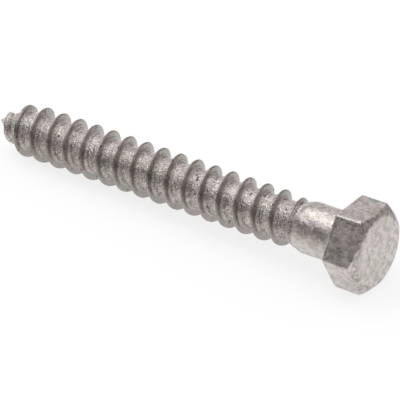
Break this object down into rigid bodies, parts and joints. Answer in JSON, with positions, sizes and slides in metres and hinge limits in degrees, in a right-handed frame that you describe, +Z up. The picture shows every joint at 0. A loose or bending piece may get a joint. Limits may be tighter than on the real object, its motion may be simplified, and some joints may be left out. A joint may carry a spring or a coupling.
{
  "type": "coach screw",
  "caption": "Hexagon-head coach screw with a plain shank, a coarse wood-screw thread and a gimlet point, hot-dip galvanised, lying on its side.",
  "frame": {"origin": "on the floor, under the middle of the lying screw's bounding box", "axes": "+Z up; the screw lies along X with its head towards +X and its point towards -X, drooping about 2 degrees towards the point"},
  "size_m": [0.1326, 0.0264, 0.0235],
  "materials": {
    "zinc": "hot-dip galvanised, matt mottled grey zinc"
  },
  "bodies": {
    "root": {"coach_screw": "zinc"}
  },
  "joints": []
}
